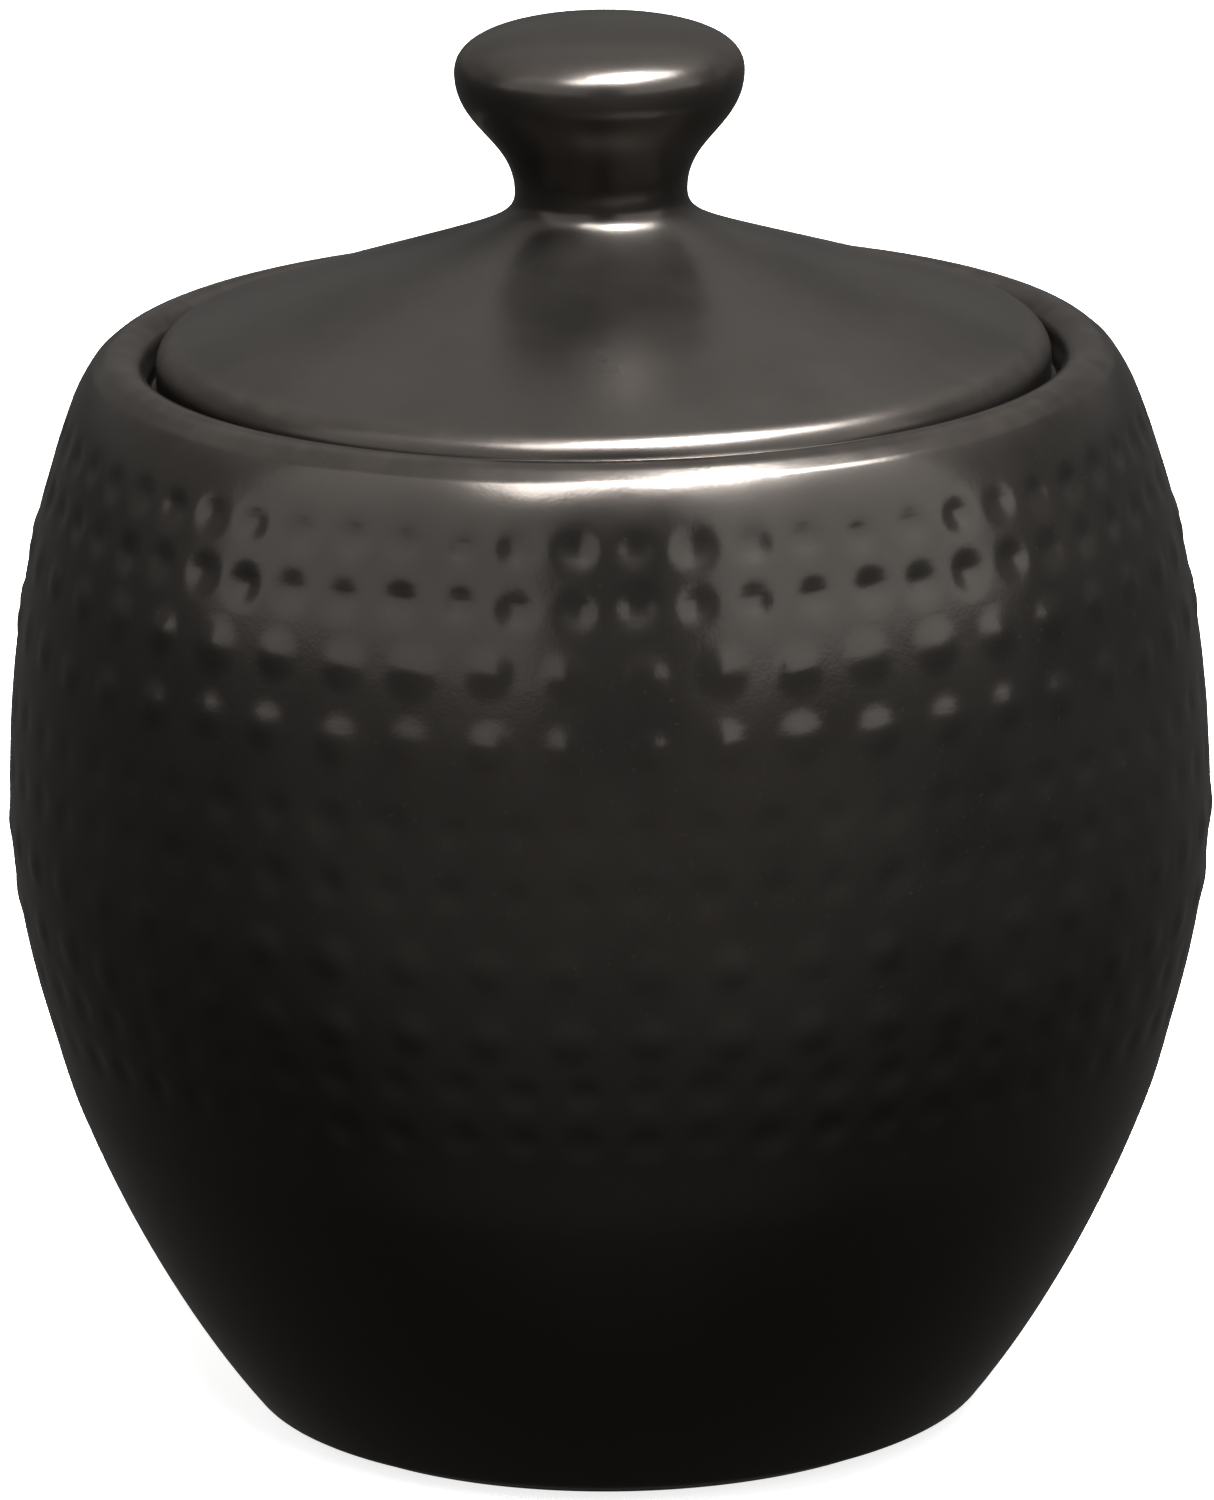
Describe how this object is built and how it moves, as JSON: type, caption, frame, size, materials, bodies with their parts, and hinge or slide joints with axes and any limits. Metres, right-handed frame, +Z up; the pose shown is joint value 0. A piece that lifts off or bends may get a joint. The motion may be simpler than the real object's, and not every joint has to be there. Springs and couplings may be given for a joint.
{
  "type": "sugar bowl",
  "caption": "Round-bellied covered sugar bowl in black glazed stoneware with hammered-look dimples; the domed lid with a mushroom knob sits inside the rolled lip and lifts off.",
  "frame": {"origin": "on the bowl's axis, at the underside of the foot ring", "axes": "+Z up along the axis the bowl and lid are turned about; X and Y are free, because the form is round"},
  "size_m": [0.1, 0.1, 0.117],
  "materials": {
    "glaze": "black satin-gloss glaze, faintly metallic, with dimples pressed into the bowl's wall",
    "bare_clay": "unglazed dark stoneware, dry and fine-grained"
  },
  "bodies": {
    "bowl": {"bowl": "glaze", "foot_ring": "bare_clay"},
    "lid": {"lid": "glaze", "knob": "glaze"}
  },
  "joints": [
    {"name": "lid_lift", "type": "slide", "parent": "bowl", "child": "lid", "axis": [0, 0, 1], "range_m": [0, 0.06]}
  ]
}
